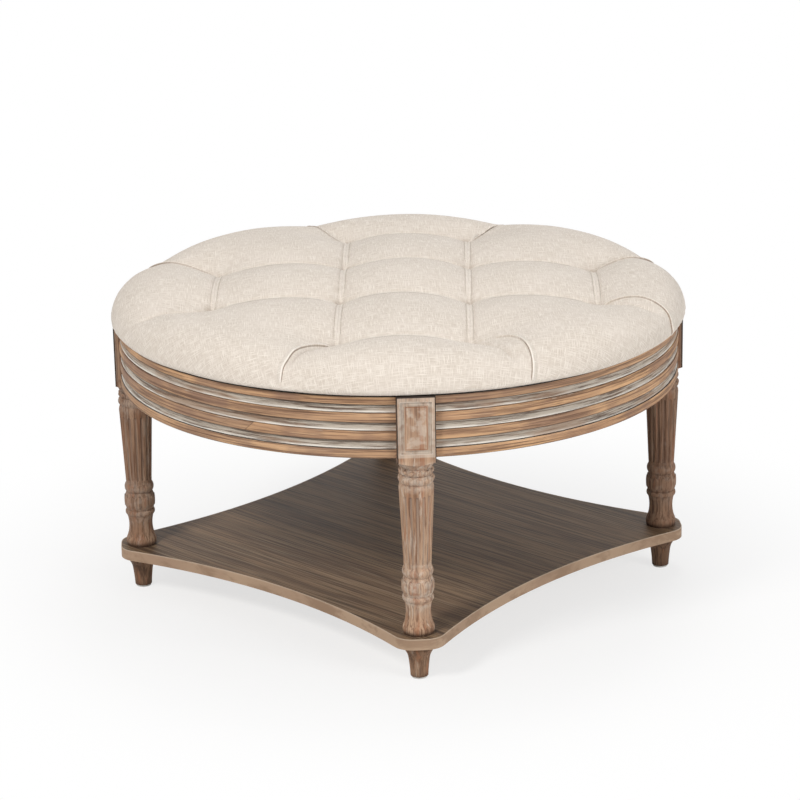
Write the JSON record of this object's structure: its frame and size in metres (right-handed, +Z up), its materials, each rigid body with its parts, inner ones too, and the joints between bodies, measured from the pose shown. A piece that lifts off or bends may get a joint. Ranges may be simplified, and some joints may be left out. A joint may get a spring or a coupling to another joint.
{
  "type": "tufted ottoman coffee table",
  "caption": "Round tufted cushion on a moulded apron ring, with turned fluted legs standing on a low hollow-sided shelf.",
  "frame": {"origin": "on the floor, under the middle of the cushion", "axes": "+Z up, front leg towards -Y, right leg towards +X"},
  "size_m": [0.8, 0.8, 0.47],
  "materials": {
    "cushion_fabric": "cream slub weave, matt",
    "foam": "open-cell foam, matt",
    "plywood": "raw plywood",
    "dust_cloth": "thin black cloth",
    "twine": "waxed twine",
    "steel": "zinc plated",
    "apron_wood": "weathered brown with whitewashed coves, satin",
    "block_wood": "raw softwood",
    "leg_wood": "weathered brown, whitewashed carving, satin",
    "foot_wood": "weathered brown, satin",
    "glide_plastic": "smooth",
    "core_board": "raw fibreboard",
    "shelf_wood": "dark grey-brown veneer, matt",
    "edge_wood": "pale band, satin"
  },
  "bodies": {
    "root": {"cushion_cover": "cushion_fabric", "cushion_foam": "foam", "seat_board": "plywood", "dust_cover": "dust_cloth", "tufting_twine": "twine", "cover_staples": "steel", "apron_front_left": "apron_wood", "apron_front_right": "apron_wood", "apron_back_left": "apron_wood", "apron_back_right": "apron_wood", "corner_block_front": "block_wood", "corner_block_right": "block_wood", "corner_block_back": "block_wood", "corner_block_left": "block_wood", "leg_front": "leg_wood", "leg_right": "leg_wood", "leg_back": "leg_wood", "leg_left": "leg_wood", "foot_front": "foot_wood", "foot_right": "foot_wood", "foot_back": "foot_wood", "foot_left": "foot_wood", "glide_front": "glide_plastic", "glide_right": "glide_plastic", "glide_back": "glide_plastic", "glide_left": "glide_plastic", "shelf_panel": "core_board", "shelf_veneer": "shelf_wood", "shelf_edge_band": "edge_wood", "leg_bolts": "steel", "leg_washers": "steel", "leg_inserts": "steel", "foot_studs": "steel", "stud_inserts": "steel", "corner_screws": "steel", "seat_screws": "steel"}
  },
  "joints": []
}
